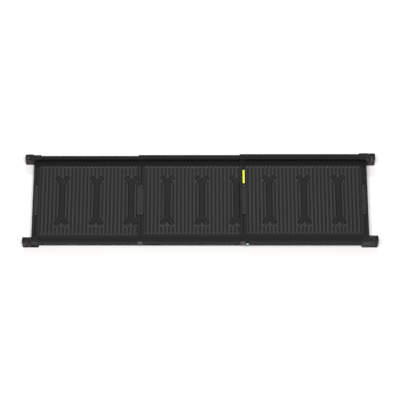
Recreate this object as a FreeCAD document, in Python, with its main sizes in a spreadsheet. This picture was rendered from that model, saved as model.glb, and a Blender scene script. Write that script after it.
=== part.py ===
import FreeCAD, Part
import math
import os
import re

import Sketcher

# A three-section telescoping pet ramp, fully extended and lying flat.
# Millimetres. The origin is on the floor under the middle of the ramp: +X runs towards the high, outer
# section, +Y is the left side of someone walking that way, +Z is up.
# Each section is a ribbed plastic deck between two folded channels that are open below. The channels nest,
# so the inner section slides into the middle one, and the middle one into the outer one.

SIZES = (
    # Section layout
    ("section_length", 644.0),
    ("low_overlap", 112.0),
    ("high_overlap", 130.0),
    ("closed_margin", 49.0),
    # Channels
    ("rail_height", 48.0),
    ("half_width", 238.0),
    ("rail_width", 19.5),
    ("wall", 1.5),
    ("outer_gap", 0.8),
    ("inner_gap", 0.6),
    ("rail_round", 1.2),
    ("ground_gap", 6.5),
    # Deck and the groove that holds its edge
    ("deck_drop", 27.5),
    ("plate_thickness", 3.6),
    ("deck_gap", 0.8),
    ("groove_depth", 12.0),
    ("ledge_thickness", 1.8),
    ("tongue_thickness", 2.0),
    ("tongue_play", 0.05),
    ("lip_thickness", 1.55),
    ("lip_proud", 0.4),
    ("edge_play", 0.3),
    # Ribs and bone pads
    ("rib_end_margin", 35.0),
    ("rib_pitch", 19.4),
    ("rib_width", 9.7),
    ("rib_height", 1.6),
    ("rib_margin", 15.5),
    ("bone_count", 3.0),
    ("ribs_per_bone", 9.0),
    ("bone_length", 269.0),
    ("bone_shaft", 25.0),
    ("lobe_radius", 12.0),
    ("lobe_offset", 21.0),
    ("lobe_length", 41.0),
    ("notch_depth", 26.0),
    ("bone_moat", 4.0),
    ("moat_notch", 1.5),
    # Bars across the ends of the decks
    ("bar_width", 14.0),
    ("bar_rise", 2.4),
    ("bar_round", 2.0),
    # Grips near the ends
    ("grip_half_length", 82.0),
    ("grip_thickness", 1.6),
    ("grip_width", 20.0),
    ("inner_grip_offset", 17.0),
    ("middle_grip_offset", 18.0),
    ("outer_grip_offset", 20.0),
    ("exit_grip_offset", 20.0),
    ("grip_overhang", 5.0),
    ("ridge_width", 10.0),
    ("ridge_rise", 2.0),
    ("boss_offset", 75.0),
    ("boss_radius", 6.0),
    ("boss_height", 3.0),
    ("boss_round", 2.2),
    ("screw_radius", 2.0),
    ("boss_margin", 2.0),
    # Collars at the mouths of the wider channels
    ("collar_length", 24.0),
    ("collar_gap", 0.4),
    ("key_length", 16.0),
    ("key_height", 5.0),
    ("key_level", 12.0),
    ("key_play", 0.5),
    ("key_end_play", 1.5),
    ("key_tip_gap", 0.1),
    ("plug_length", 20.0),
    ("rivet_depth", 4.0),
    ("rivet_radius", 2.0),
    ("rivet_head_radius", 3.6),
    ("rivet_head_height", 0.9),
    # Glide blocks at the hidden ends of the narrower channels
    ("glide_length", 8.0),
    ("glide_gap", 0.4),
    ("glide_plug", 25.0),
    ("glide_lift", 2.0),
    # Feet
    ("foot_margin", 5.9),
    ("foot_reach", 45.0),
    ("foot_side", 5.0),
    ("foot_cover", 1.5),
    ("foot_round", 5.0),
    ("sleeve_length", 38.0),
    ("sleeve_wall", 3.5),
    ("sleeve_root", 4.0),
    ("sleeve_round", 2.0),
    ("core_length", 38.0),
    ("foot_screw_inset", 14.0),
    ("foot_screw_level", 30.0),
    ("foot_screw_head", 4.0),
    ("foot_screw_rise", 1.6),
    # Blank strip that marks the step up to the outer section
    ("strip_inset", 14.5),
    ("strip_width", 9.0),
    ("strip_near", 92.0),
    ("strip_length", 73.0),
    ("strip_thickness", 0.4),
    # Lock that pins the outer and middle sections together
    ("lock_inset", 35.0),
    ("lock_level", 24.5),
    ("lock_radius", 9.0),
    ("lock_depth", 3.4),
    ("lock_cap", 0.6),
    ("cavity_radius", 4.5),
    ("plunger_radius", 2.0),
    ("plunger_play", 0.2),
    ("plunger_tip_gap", 0.3),
    ("flange_radius", 4.2),
    ("flange_thickness", 0.5),
    ("flange_lift", 0.1),
    ("knob_radius", 7.0),
    ("knob_depth", 2.3),
    ("knob_lift", 0.1),
    ("knob_bore", 1.2),
    ("spring_wall", 1.6),
    ("lock_hole_radius", 2.5),
)

# Share of a small rise that the rounding of its rim takes
EDGE_SHARE = 0.6

doc = FreeCAD.newDocument("telescoping_ramp")
sizes = doc.addObject("Spreadsheet::Sheet", "sizes")
for row, (alias, number) in enumerate(SIZES, 1):
    sizes.set(f"A{row}", alias)
    sizes.set(f"B{row}", str(number))
    sizes.setAlias(f"B{row}", alias)
doc.recompute()

ALIAS = re.compile(r"\b(" + "|".join(alias for alias, number in SIZES) + r")\b")


def bind(item, formulas):
    """Tie each named property of an object to a formula in the sheet's words."""
    for path, formula in formulas.items():
        item.setExpression(path, ALIAS.sub(r"sizes.\1", formula))


# ---- Faces of each section, as formulas ----

INNER_FACE_IN = "(half_width - rail_width)"
STROKE = "(section_length - high_overlap - closed_margin)"
RIB_COUNT = "(floor((section_length - 2 * rib_end_margin) / rib_pitch) + 1)"
BONE_PITCH = "(ribs_per_bone * rib_pitch)"
SECTION_RISE = "(plate_thickness + rib_height + deck_gap)"
DECK_SPAN = "(3 * section_length - low_overlap - high_overlap)"
INNER_START = f"(-{DECK_SPAN} / 2)"
MIDDLE_START = f"({INNER_START} + section_length - low_overlap)"
OUTER_START = f"({MIDDLE_START} + section_length - high_overlap)"


def section(name, order, start):
    """Say where one section's faces are; order 0 is the lowest and narrowest section."""
    bottom = f"(ground_gap + {order} * {SECTION_RISE})"
    top = f"({bottom} + rail_height)"
    deck = f"({top} - deck_drop)"
    face_in = f"({INNER_FACE_IN} - {order} * (wall + inner_gap))"
    ledge_top = f"({deck} + lip_proud - lip_thickness - tongue_play - tongue_thickness)"
    return {
        "name": name,
        "start": start,
        "end": f"({start} + section_length)",
        "bottom": bottom,
        "top": top,
        "deck": deck,
        "face_out": f"(half_width + {order} * (wall + outer_gap))",
        "face_in": face_in,
        "edge": f"({face_in} - groove_depth)",
        "ledge_top": ledge_top,
        "lip_bottom": f"({ledge_top} + tongue_thickness + tongue_play)",
    }


INNER = section("inner", 0, INNER_START)
MIDDLE = section("middle", 1, MIDDLE_START)
OUTER = section("outer", 2, OUTER_START)
SECTIONS = (INNER, MIDDLE, OUTER)
SIDES = (("left", 1), ("right", -1))


# ---- Simple solids, placed by formulas ----

def block(x, y, z, side=1):
    """Box between pairs of formulas; y is a pair of distances out from the centreline, on one side."""
    near, far = y
    box = doc.addObject("Part::Box", "block")
    bind(box, {
        "Length": f"({x[1]}) - ({x[0]})",
        "Width": f"({far}) - ({near})",
        "Height": f"({z[1]}) - ({z[0]})",
        "Placement.Base.x": x[0],
        "Placement.Base.y": near if side > 0 else f"-({far})",
        "Placement.Base.z": z[0],
    })
    return box


def upright(x, y, z, radius, side=1):
    """Vertical cylinder between two heights."""
    rod = doc.addObject("Part::Cylinder", "upright")
    bind(rod, {
        "Radius": radius,
        "Height": f"({z[1]}) - ({z[0]})",
        "Placement.Base.x": x,
        "Placement.Base.y": y if side > 0 else f"-({y})",
        "Placement.Base.z": z[0],
    })
    return rod


def crosswise(x, y, z, radius, side=1):
    """Cylinder along Y; y is a pair of distances out from the centreline, on one side."""
    near, far = y
    rod = doc.addObject("Part::Cylinder", "crosswise")
    rod.Placement.Rotation = FreeCAD.Rotation(FreeCAD.Vector(1, 0, 0), -90)
    bind(rod, {
        "Radius": radius,
        "Height": f"({far}) - ({near})",
        "Placement.Base.x": x,
        "Placement.Base.y": near if side > 0 else f"-({far})",
        "Placement.Base.z": z,
    })
    return rod


def fuse(pieces):
    joined = doc.addObject("Part::MultiFuse", "joined")
    joined.Shapes = pieces
    joined.Refine = True
    return joined


def cut(base, tools):
    remainder = doc.addObject("Part::Cut", "remainder")
    remainder.Base = base
    remainder.Tool = tools[0] if len(tools) == 1 else fuse(tools)
    return remainder


def round_edges(base, radius, chosen):
    """Round the edges of a solid that the chosen test accepts, given the edge and the solid's box."""
    doc.recompute()
    box = base.Shape.BoundBox
    numbers = [n for n, edge in enumerate(base.Shape.Edges, 1) if chosen(edge.BoundBox, box)]
    rounded = doc.addObject("Part::Fillet", "rounded")
    rounded.Base = base
    rounded.Edges = [(n, radius, radius) for n in numbers]
    return rounded


NEAR = 0.01  # tolerance for telling one face's edges from another's


def top_lengthwise(edge, box):
    """The two long upper edges of a channel or collar."""
    flat = edge.ZLength < NEAR and edge.YLength < NEAR
    on_side = abs(edge.YMin - box.YMax) < NEAR or abs(edge.YMax - box.YMin) < NEAR
    reaches_far = abs(edge.YMin) > (sizes.half_width - sizes.rail_width) - 3 * (sizes.wall + sizes.inner_gap)
    return flat and abs(edge.ZMax - box.ZMax) < NEAR and (on_side or reaches_far)


def top_crosswise(edge, box):
    """The two long upper edges of a bar across the ramp."""
    return edge.ZLength < NEAR and edge.XLength < NEAR and abs(edge.ZMax - box.ZMax) < NEAR


def upper_rim(edge, box):
    """Every edge of the top face."""
    return edge.ZLength < NEAR and abs(edge.ZMax - box.ZMax) < NEAR


def all_but_bottom(edge, box):
    """Upright edges and the top face's edges."""
    return not (edge.ZLength < NEAR and abs(edge.ZMin - box.ZMin) < NEAR)


def upright_edges(edge, box):
    return edge.XLength < NEAR and edge.YLength < NEAR


def outward_rim(side):
    """The circular edge on the face of a head that points away from the centreline."""
    def chosen(edge, box):
        outer = box.YMax if side > 0 else box.YMin
        return edge.YLength < NEAR and abs(edge.YMin - outer) < NEAR
    return chosen


nodes = {}


def keep(name, item):
    """Name a finished sub-part."""
    item.Label = name
    nodes[name] = item
    return item


# ---- Sketches for the decks ----

def new_sketch(body, name, offsets):
    """Sketch on the body's own XY plane, moved by formulas."""
    plane = [item for item in body.Origin.OriginFeatures if item.Role == "XY_Plane"][0]
    sketch = body.newObject("Sketcher::SketchObject", name)
    sketch.AttachmentSupport = [(plane, "")]
    sketch.MapMode = "FlatFace"
    bind(sketch, {f"AttachmentOffset.Base.{axis}": formula for axis, formula in offsets.items()})
    return sketch


def fix(sketch, kind, geometry, formula):
    """Add a dimension and tie it to a formula."""
    number = sketch.addConstraint(Sketcher.Constraint(kind, *geometry))
    bind(sketch, {f"Constraints[{number}]": formula})


def fix_point(sketch, geometry, point, x, y, signs):
    """Hold a point at a distance from the sketch's origin, on the sides that the signs say."""
    axes = (("DistanceX", x, signs[0], point[0]), ("DistanceY", y, signs[1], point[1]))
    for kind, formula, sign, now in axes:
        ends = (-1, 1, *geometry) if sign > 0 else (*geometry, -1, 1)
        fix(sketch, kind, (*ends, abs(now)), formula)


def rectangle(sketch, length, width, now):
    """Rectangle from x = 0 to its length, even about the x axis; now holds its two present sizes."""
    far, half = now[0], now[1] / 2
    corners = ((0, -half), (far, -half), (far, half), (0, half))
    points = [FreeCAD.Vector(x, y, 0) for x, y in corners]
    for start in range(4):
        sketch.addGeometry(Part.LineSegment(points[start], points[(start + 1) % 4]))
    for start in range(4):
        sketch.addConstraint(Sketcher.Constraint("Coincident", start, 2, (start + 1) % 4, 1))
    sketch.addConstraint(Sketcher.Constraint("Horizontal", 0))
    sketch.addConstraint(Sketcher.Constraint("Vertical", 1))
    sketch.addConstraint(Sketcher.Constraint("Horizontal", 2))
    sketch.addConstraint(Sketcher.Constraint("PointOnObject", 3, 2, -2))
    sketch.addConstraint(Sketcher.Constraint("Symmetric", 3, 1, 3, 2, -1))
    fix(sketch, "DistanceX", (0, 1, 0, 2, now[0]), length)
    fix(sketch, "DistanceY", (1, 1, 1, 2, now[1]), width)


def rib_outline(sketch, straight, radius, now):
    """Long slot across the ramp with round ends; now holds half its straight length and its radius."""
    half, round_end = now
    place = FreeCAD.Vector
    up = place(0, 0, 1)
    far_circle = Part.Circle(place(0, half, 0), up, round_end)
    near_circle = Part.Circle(place(0, -half, 0), up, round_end)
    sketch.addGeometry(Part.ArcOfCircle(far_circle, 0, math.pi))
    sketch.addGeometry(Part.LineSegment(place(-round_end, half, 0), place(-round_end, -half, 0)))
    sketch.addGeometry(Part.ArcOfCircle(near_circle, math.pi, math.tau))
    sketch.addGeometry(Part.LineSegment(place(round_end, -half, 0), place(round_end, half, 0)))
    for first, end, second, start in ((0, 2, 1, 1), (1, 2, 2, 1), (2, 2, 3, 1), (3, 2, 0, 1)):
        sketch.addConstraint(Sketcher.Constraint("Tangent", first, end, second, start))
    sketch.addConstraint(Sketcher.Constraint("Vertical", 1))
    sketch.addConstraint(Sketcher.Constraint("PointOnObject", 0, 3, -2))
    sketch.addConstraint(Sketcher.Constraint("Symmetric", 0, 3, 2, 3, -1, 1))
    fix(sketch, "DistanceY", (-1, 1, 0, 3, half), straight)
    fix(sketch, "Radius", (0, round_end), radius)


def bone_outline(sketch, grow):
    """Bone with two round lobes and a notch at each end.

    grow is a size's name, or None for the bone itself.
    """
    extra = sizes.get(grow) if grow else 0.0
    added = f" + {grow}" if grow else ""
    apex_y = sizes.bone_length / 2 - sizes.notch_depth + sizes.moat_notch * extra
    apex_formula = "bone_length / 2 - notch_depth" + (f" + moat_notch * {grow}" if grow else "")
    lobe_formula = "bone_length / 2 - lobe_radius"
    shaft_formula = "bone_shaft / 2" + added
    shoulder_formula = "bone_length / 2 - lobe_length"
    radius = sizes.lobe_radius + extra
    shaft = sizes.bone_shaft / 2 + extra
    lobe_y = sizes.bone_length / 2 - sizes.lobe_radius
    shoulder_y = sizes.bone_length / 2 - sizes.lobe_length
    up = FreeCAD.Vector(0, 0, 1)
    corner = {}
    lobe = {}
    notch_side = {}
    for sx, sy in ((1, 1), (-1, 1), (-1, -1), (1, -1)):
        centre = FreeCAD.Vector(sx * sizes.lobe_offset, sy * lobe_y, 0)
        shoulder = FreeCAD.Vector(sx * shaft, sy * shoulder_y, 0)
        apex = FreeCAD.Vector(0, sy * apex_y, 0)
        touch = tangent_point(shoulder, centre, radius, sx * sy)
        inner_touch = tangent_point(apex, centre, radius, -sx * sy)
        ends = [angle_from(centre, point) for point in (touch, inner_touch)]
        outward = sx * sy > 0
        first, last = ends if outward else reversed(ends)
        arc = Part.ArcOfCircle(Part.Circle(centre, up, radius), first, last)
        lobe[sx, sy] = (sketch.addGeometry(arc), 1 if outward else 2, 2 if outward else 1)
        corner[sx, sy] = (sketch.addGeometry(Part.LineSegment(shoulder, touch)), shoulder, centre)
        notch_side[sx, sy] = sketch.addGeometry(Part.LineSegment(inner_touch, apex))
    for (sx, sy), (line, shoulder, centre) in corner.items():
        arc, touch_end, notch_end = lobe[sx, sy]
        sketch.addConstraint(Sketcher.Constraint("Tangent", line, 2, arc, touch_end))
        sketch.addConstraint(Sketcher.Constraint("Tangent", notch_side[sx, sy], 1, arc, notch_end))
        fix_point(sketch, (arc, 3), centre, "lobe_offset", lobe_formula, (sx, sy))
        fix(sketch, "Radius", (arc, radius), "lobe_radius" + added)
        fix_point(sketch, (line, 1), shoulder, shaft_formula, shoulder_formula, (sx, sy))
    for sy in (1, -1):
        right, left = notch_side[1, sy], notch_side[-1, sy]
        sketch.addConstraint(Sketcher.Constraint("Coincident", right, 2, left, 2))
        sketch.addConstraint(Sketcher.Constraint("PointOnObject", right, 2, -2))
        ends = (-1, 1, right, 2) if sy > 0 else (right, 2, -1, 1)
        fix(sketch, "DistanceY", (*ends, apex_y), apex_formula)
    for sx in (1, -1):
        side = sketch.addGeometry(Part.LineSegment(corner[sx, 1][1], corner[sx, -1][1]))
        sketch.addConstraint(Sketcher.Constraint("Coincident", side, 1, corner[sx, 1][0], 1))
        sketch.addConstraint(Sketcher.Constraint("Coincident", side, 2, corner[sx, -1][0], 1))


def angle_from(centre, point):
    """Direction of a point from a centre, in radians."""
    toward = point.sub(centre)
    angle = FreeCAD.Vector(1, 0, 0).getAngle(toward)
    return angle if toward.y >= 0 else -angle


def tangent_point(start, centre, radius, turn):
    """Point where a line from start touches a circle, on the outer side of it."""
    toward = centre.sub(start)
    reach = (toward.Length ** 2 - radius ** 2) ** 0.5
    along = FreeCAD.Vector(toward).normalize()
    aside = FreeCAD.Vector(along.y, -along.x, 0).multiply(turn)
    cosine = reach / toward.Length
    sine = radius / toward.Length
    return start.add(along.multiply(reach * cosine)).add(aside.multiply(reach * sine))


def pad(body, sketch, height):
    raised = body.newObject("PartDesign::Pad", "pad")
    raised.Profile = sketch
    bind(raised, {"Length": height})
    body.Tip = raised
    return raised


def pocket(body, sketch, depth):
    """Cut down from the sketch."""
    sunk = body.newObject("PartDesign::Pocket", "pocket")
    sunk.Profile = sketch
    bind(sunk, {"Length": depth})
    body.Tip = sunk
    return sunk


def repeat_along(body, feature, count, length):
    """Repeat a feature along the ramp."""
    axis = [item for item in body.Origin.OriginFeatures if item.Role == "X_Axis"][0]
    pattern = body.newObject("PartDesign::LinearPattern", "pattern")
    pattern.Originals = [feature]
    pattern.Direction = (axis, [""])
    bind(pattern, {"Length": length, "Occurrences": count})
    body.Tip = pattern
    return pattern


# ---- Decks ----

def half_edge(this):
    """Present half width of a deck's thick part, for the first guess of its sketch."""
    order = SECTIONS.index(this)
    return (sizes.half_width - sizes.rail_width) - order * (sizes.wall + sizes.inner_gap) - sizes.groove_depth


def deck_body(this):
    """Plate with thin edges for the grooves, round-ended ribs, and raised bones in sunk outlines."""
    body = doc.addObject("PartDesign::Body", this["name"] + "_deck_body")
    length = "section_length - 2 * bar_width"
    length_now = sizes.section_length - 2 * sizes.bar_width
    width_now = 2 * half_edge(this)

    plate = new_sketch(body, "plate_sketch", {"z": "-plate_thickness"})
    rectangle(plate, length, f"2 * ({this['edge']} - edge_play)", (length_now, width_now))
    pad(body, plate, "plate_thickness")

    tongue = new_sketch(body, "tongue_sketch", {"z": f"{this['ledge_top']} - {this['deck']}"})
    rectangle(tongue, length, f"2 * ({this['face_in']} - edge_play)", (length_now, width_now))
    pad(body, tongue, "tongue_thickness")

    rib_span = f"({RIB_COUNT} - 1) * rib_pitch"
    first_rib = f"(section_length - {rib_span}) / 2 - bar_width"
    rib = new_sketch(body, "rib_sketch", {"x": first_rib})
    half_straight = f"{this['edge']} - rib_margin - rib_width / 2"
    now = (half_edge(this) - sizes.rib_margin - sizes.rib_width / 2, sizes.rib_width / 2)
    rib_outline(rib, half_straight, "rib_width / 2", now)
    one_rib = pad(body, rib, "rib_height")
    repeat_along(body, one_rib, RIB_COUNT, rib_span)

    bone_span = f"(bone_count - 1) * {BONE_PITCH}"
    first_bone = f"(section_length - {bone_span}) / 2 - bar_width"
    moat = new_sketch(body, "moat_sketch", {"x": first_bone, "z": "rib_height"})
    bone_outline(moat, "bone_moat")
    one_moat = pocket(body, moat, "rib_height")
    repeat_along(body, one_moat, "bone_count", bone_span)

    bone = new_sketch(body, "bone_sketch", {"x": first_bone})
    bone_outline(bone, None)
    one_bone = pad(body, bone, "rib_height")
    repeat_along(body, one_bone, "bone_count", bone_span)

    bind(body, {"Placement.Base.x": f"{this['start']} + bar_width", "Placement.Base.z": this["deck"]})
    return body


def grip_places(this):
    """The grips of a section: name, x of its ridge, and the two ends of its pad along the ramp."""
    start, end = this["start"], this["end"]
    ridges = {
        "inner": [("inner_grip", f"({start} + inner_grip_offset)")],
        "middle": [("middle_grip", f"({start} + middle_grip_offset)")],
        "outer": [
            ("outer_entry_grip", f"({start} + outer_grip_offset)"),
            ("outer_exit_grip", f"({end} - exit_grip_offset)"),
        ],
    }
    found = []
    for name, ridge in ridges[this["name"]]:
        low = f"({start} - grip_overhang)" if this is MIDDLE else f"({ridge} - grip_width / 2)"
        found.append((name, ridge, (low, f"({ridge} + grip_width / 2)")))
    return found


def screw_shanks(this):
    """Rods where the grip screws pass through a section's grips and deck."""
    rods = []
    for name, ridge, span in grip_places(this):
        for side in (1, -1):
            depth = (f"{this['deck']} - plate_thickness", f"{this['deck']} + grip_thickness")
            rods.append(upright(ridge, "boss_offset", depth, "screw_radius", side))
    return rods


for this in SECTIONS:
    keep(this["name"] + "_deck", cut(deck_body(this), screw_shanks(this)))


# ---- Channels ----

def groove_blocks(this, x, side):
    """The ledge under a deck's edge and the lip over it."""
    y = (this["edge"], f"{this['face_in']} + wall")
    return [
        block(x, y, (f"{this['ledge_top']} - ledge_thickness", this["ledge_top"]), side),
        block(x, y, (this["lip_bottom"], f"{this['lip_bottom']} + lip_thickness"), side),
    ]


def key_span(this):
    """Ends of the key in a collar, along the ramp."""
    middle = f"({this['start']} + collar_length / 2)"
    return (f"({middle} - key_length / 2)", f"({middle} + key_length / 2)")


def key_slot(narrow, wide, side):
    """Slot in the narrower channel's outer wall for the wider channel's key, over the whole stroke."""
    low, high = key_span(wide)
    level = f"({narrow['bottom']} + key_level)"
    reach = "(key_height / 2 + key_play)"
    return block(
        (f"{low} - {STROKE} - key_end_play", f"{high} + key_end_play"),
        (f"{narrow['face_out']} - 2 * wall", f"{narrow['face_out']} + wall"),
        (f"{level} - {reach}", f"{level} + {reach}"),
        side,
    )


def rivet_place(this):
    return f"({this['start']} + collar_length + plug_length / 2)"


def rivet_shank(this, side):
    y = f"({this['face_in']} + {this['face_out']}) / 2"
    return upright(rivet_place(this), y, (f"{this['top']} - rivet_depth", this["top"]), "rivet_radius", side)


def foot_shanks(this, corner, inward, side):
    """Rods of the two screws that hold a foot: one through the outer wall, one through the top."""
    x = f"({corner} + {inward} * foot_screw_inset)"
    level = f"{this['bottom']} + foot_screw_level"
    out = (f"{this['face_out']} - wall", f"{this['face_out']} + sleeve_wall")
    above = (f"{this['top']} - wall", f"{this['top']} + sleeve_wall")
    y = f"({this['face_in']} + {this['face_out']}) / 2"
    return [
        crosswise(x, out, level, "screw_radius", side),
        upright(x, y, above, "screw_radius", side),
    ]


LOCK_X = f"({OUTER['start']} + lock_inset)"
LOCK_Z = f"({OUTER['bottom']} + lock_level)"


def lock_hole(this, x, radius):
    """Hole in a channel's outer wall on the right-hand side."""
    return crosswise(x, (f"{this['face_out']} - 2 * wall", f"{this['face_out']} + wall"), LOCK_Z, radius, -1)


def rail(this, side):
    """Channel open below, with a groove for the deck's edge on its inner wall."""
    has_collar = this is not INNER
    x = (f"{this['start']} + collar_length" if has_collar else this["start"], this["end"])
    top = this["top"]
    inner_wall = (f"{this['ledge_top']} - ledge_thickness", top)
    channel = fuse([
        block(x, (this["face_in"], this["face_out"]), (f"{top} - wall", top), side),
        block(x, (f"{this['face_out']} - wall", this["face_out"]), (this["bottom"], top), side),
        block(x, (this["face_in"], f"{this['face_in']} + wall"), inner_wall, side),
        *groove_blocks(this, x, side),
    ])
    rounded = round_edges(channel, sizes.rail_round, top_lengthwise)
    holes = []
    if this is INNER:
        holes += [key_slot(INNER, MIDDLE, side)] + foot_shanks(INNER, INNER["start"], 1, side)
    if this is MIDDLE:
        holes += [key_slot(MIDDLE, OUTER, side)]
    if this is OUTER:
        holes += foot_shanks(OUTER, OUTER["end"], -1, side)
    if has_collar:
        holes.append(rivet_shank(this, side))
    if side < 0 and this is MIDDLE:
        holes += [lock_hole(MIDDLE, LOCK_X, "lock_hole_radius")]
        holes += [lock_hole(MIDDLE, f"{LOCK_X} - {STROKE}", "lock_hole_radius")]
    if side < 0 and this is OUTER:
        holes.append(lock_hole(OUTER, LOCK_X, "plunger_radius + plunger_play"))
    return cut(rounded, holes)


for this in SECTIONS:
    for side_name, side in SIDES:
        keep(f"{this['name']}_rail_{side_name}", rail(this, side))


# ---- Bars across the deck ends ----

def centred_box(x, half_length, z):
    """Box across the ramp, even about the centreline."""
    box = doc.addObject("Part::Box", "block")
    bind(box, {
        "Length": f"({x[1]}) - ({x[0]})",
        "Width": f"2 * ({half_length})",
        "Height": f"({z[1]}) - ({z[0]})",
        "Placement.Base.x": x[0],
        "Placement.Base.y": f"-({half_length})",
        "Placement.Base.z": z[0],
    })
    return box


def end_bar(this, x, rise, at_edge):
    """Bar with rounded upper edges, notched where a grip's pad lies over it."""
    height = (f"{this['deck']} - plate_thickness", f"{this['deck']} + {rise}")
    bar = centred_box(x, this["edge"], height)
    rounded = round_edges(bar, min(sizes.bar_round, sizes.rib_height), top_crosswise)
    notches = [grip_footprint(this, span) for name, ridge, span in grip_places(this) if at_edge]
    return cut(rounded, notches) if notches else rounded


def grip_footprint(this, span):
    """Room for one grip's pad, from the deck's face up."""
    return centred_box(span, "grip_half_length", (this["deck"], f"{this['deck']} + bar_rise + boss_height"))


def entry_span(this):
    return (this["start"], f"{this['start']} + bar_width")


def far_span(this):
    return (f"{this['end']} - bar_width", this["end"])


keep("inner_end_bar", end_bar(INNER, entry_span(INNER), "bar_rise", True))
keep("middle_end_bar", end_bar(MIDDLE, entry_span(MIDDLE), "bar_rise", True))
keep("outer_entry_bar", end_bar(OUTER, entry_span(OUTER), "bar_rise", True))
keep("outer_exit_bar", end_bar(OUTER, far_span(OUTER), "bar_rise", True))
keep("inner_tail_bar", end_bar(INNER, far_span(INNER), "lip_proud", False))
keep("middle_tail_bar", end_bar(MIDDLE, far_span(MIDDLE), "lip_proud", False))


# ---- Grips and their screws ----

def grip(this, ridge, span):
    """Thin pad with a raised ridge between its two screws."""
    face = f"({this['deck']} + grip_thickness)"
    pad_box = centred_box(span, "grip_half_length", (this["deck"], face))
    ridge_box = centred_box(
        (f"{ridge} - ridge_width / 2", f"{ridge} + ridge_width / 2"),
        "boss_offset - boss_radius - boss_margin",
        (this["deck"], f"{face} + ridge_rise"),
    )
    ridge_round = round_edges(ridge_box, sizes.ridge_rise * EDGE_SHARE, upper_rim)
    shanks = [
        upright(ridge, "boss_offset", (this["deck"], face), "screw_radius", side)
        for side in (1, -1)
    ]
    return cut(fuse([pad_box, ridge_round]), shanks)


def grip_screws(this, ridge):
    """Two domed screws."""
    face = f"({this['deck']} + grip_thickness)"
    screws = []
    for side in (1, -1):
        head = upright(ridge, "boss_offset", (face, f"{face} + boss_height"), "boss_radius", side)
        dome = round_edges(head, sizes.boss_round, upper_rim)
        span = (f"{this['deck']} - plate_thickness", face)
        shank = upright(ridge, "boss_offset", span, "screw_radius", side)
        screws += [dome, shank]
    return fuse(screws)


for this in SECTIONS:
    for name, ridge, span in grip_places(this):
        keep(name, grip(this, ridge, span))
        keep(name + "_screws", grip_screws(this, ridge))


# ---- Collars ----

def collar(this, narrow, side):
    """Mouth of a channel: thicker walls that guide the narrower one, a key for its slot, and a plug."""
    x = (this["start"], f"{this['start']} + collar_length")
    top = this["top"]
    roof = f"({narrow['top']} + collar_gap)"
    outer_wall = f"({narrow['face_out']} + collar_gap)"
    mouth = fuse([
        block(x, (this["face_in"], this["face_out"]), (roof, top), side),
        block(x, (outer_wall, this["face_out"]), (this["bottom"], top), side),
        block(x, (this["face_in"], f"{narrow['face_in']} - collar_gap"),
              (f"{this['ledge_top']} - ledge_thickness", top), side),
        *collar_groove(this, narrow, x, side),
    ])
    rounded = round_edges(mouth, sizes.rail_round, top_lengthwise)
    level = f"({narrow['bottom']} + key_level)"
    key = block(
        key_span(this),
        (f"{narrow['face_out']} - wall + key_tip_gap", f"{outer_wall} + collar_gap"),
        (f"{level} - key_height / 2", f"{level} + key_height / 2"),
        side,
    )
    plug = block(
        (f"{x[1]} - collar_gap", f"{x[1]} + plug_length"),
        (f"{this['face_in']} + wall", f"{this['face_out']} - wall"),
        (roof, f"{top} - wall"),
        side,
    )
    return cut(fuse([rounded, key, plug]), [rivet_shank(this, side)])


def collar_groove(this, narrow, x, side):
    """The groove's ledge and lip, carried on through the collar."""
    y = (this["edge"], f"{narrow['face_in']} - collar_gap")
    return [
        block(x, y, (f"{this['ledge_top']} - ledge_thickness", this["ledge_top"]), side),
        block(x, y, (this["lip_bottom"], f"{this['lip_bottom']} + lip_thickness"), side),
    ]


def rivets(this):
    """One rivet in each collar's plug, with a low head."""
    y = f"({this['face_in']} + {this['face_out']}) / 2"
    pieces = []
    for side_name, side in SIDES:
        head = upright(rivet_place(this), y, (this["top"], f"{this['top']} + rivet_head_height"),
                       "rivet_head_radius", side)
        dome = round_edges(head, sizes.rivet_head_height * EDGE_SHARE, upper_rim)
        pieces += [dome, rivet_shank(this, side)]
    return fuse(pieces)


for this, narrow in ((MIDDLE, INNER), (OUTER, MIDDLE)):
    for side_name, side in SIDES:
        keep(f"{this['name']}_collar_{side_name}", collar(this, narrow, side))
    keep(f"{this['name']}_rivets", rivets(this))


# ---- Glide blocks ----

def glide(this, wide, side):
    """Block that fills the wider channel behind the narrower one's hidden end."""
    flange = block(
        (this["end"], f"{this['end']} + glide_length"),
        (f"{wide['face_in']} + wall + glide_gap", f"{wide['face_out']} - wall - glide_gap"),
        (f"{this['bottom']} + glide_lift", f"{wide['top']} - wall - glide_gap"),
        side,
    )
    plug = block(
        (f"{this['end']} - glide_plug", f"{this['end']} + glide_gap"),
        (f"{this['face_in']} + wall", f"{this['face_out']} - wall"),
        (f"{this['deck']} + glide_lift", f"{this['top']} - wall"),
        side,
    )
    return fuse([flange, plug])


for this, wide in ((INNER, MIDDLE), (MIDDLE, OUTER)):
    for side_name, side in SIDES:
        keep(f"{this['name']}_glide_{side_name}", glide(this, wide, side))


# ---- Feet ----

def along(corner, outward, near, far):
    """Span from one distance to another, measured outward from a deck's end."""
    if outward > 0:
        return (f"({corner} + {near})", f"({corner} + {far})")
    return (f"({corner} - {far})", f"({corner} - {near})")


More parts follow.
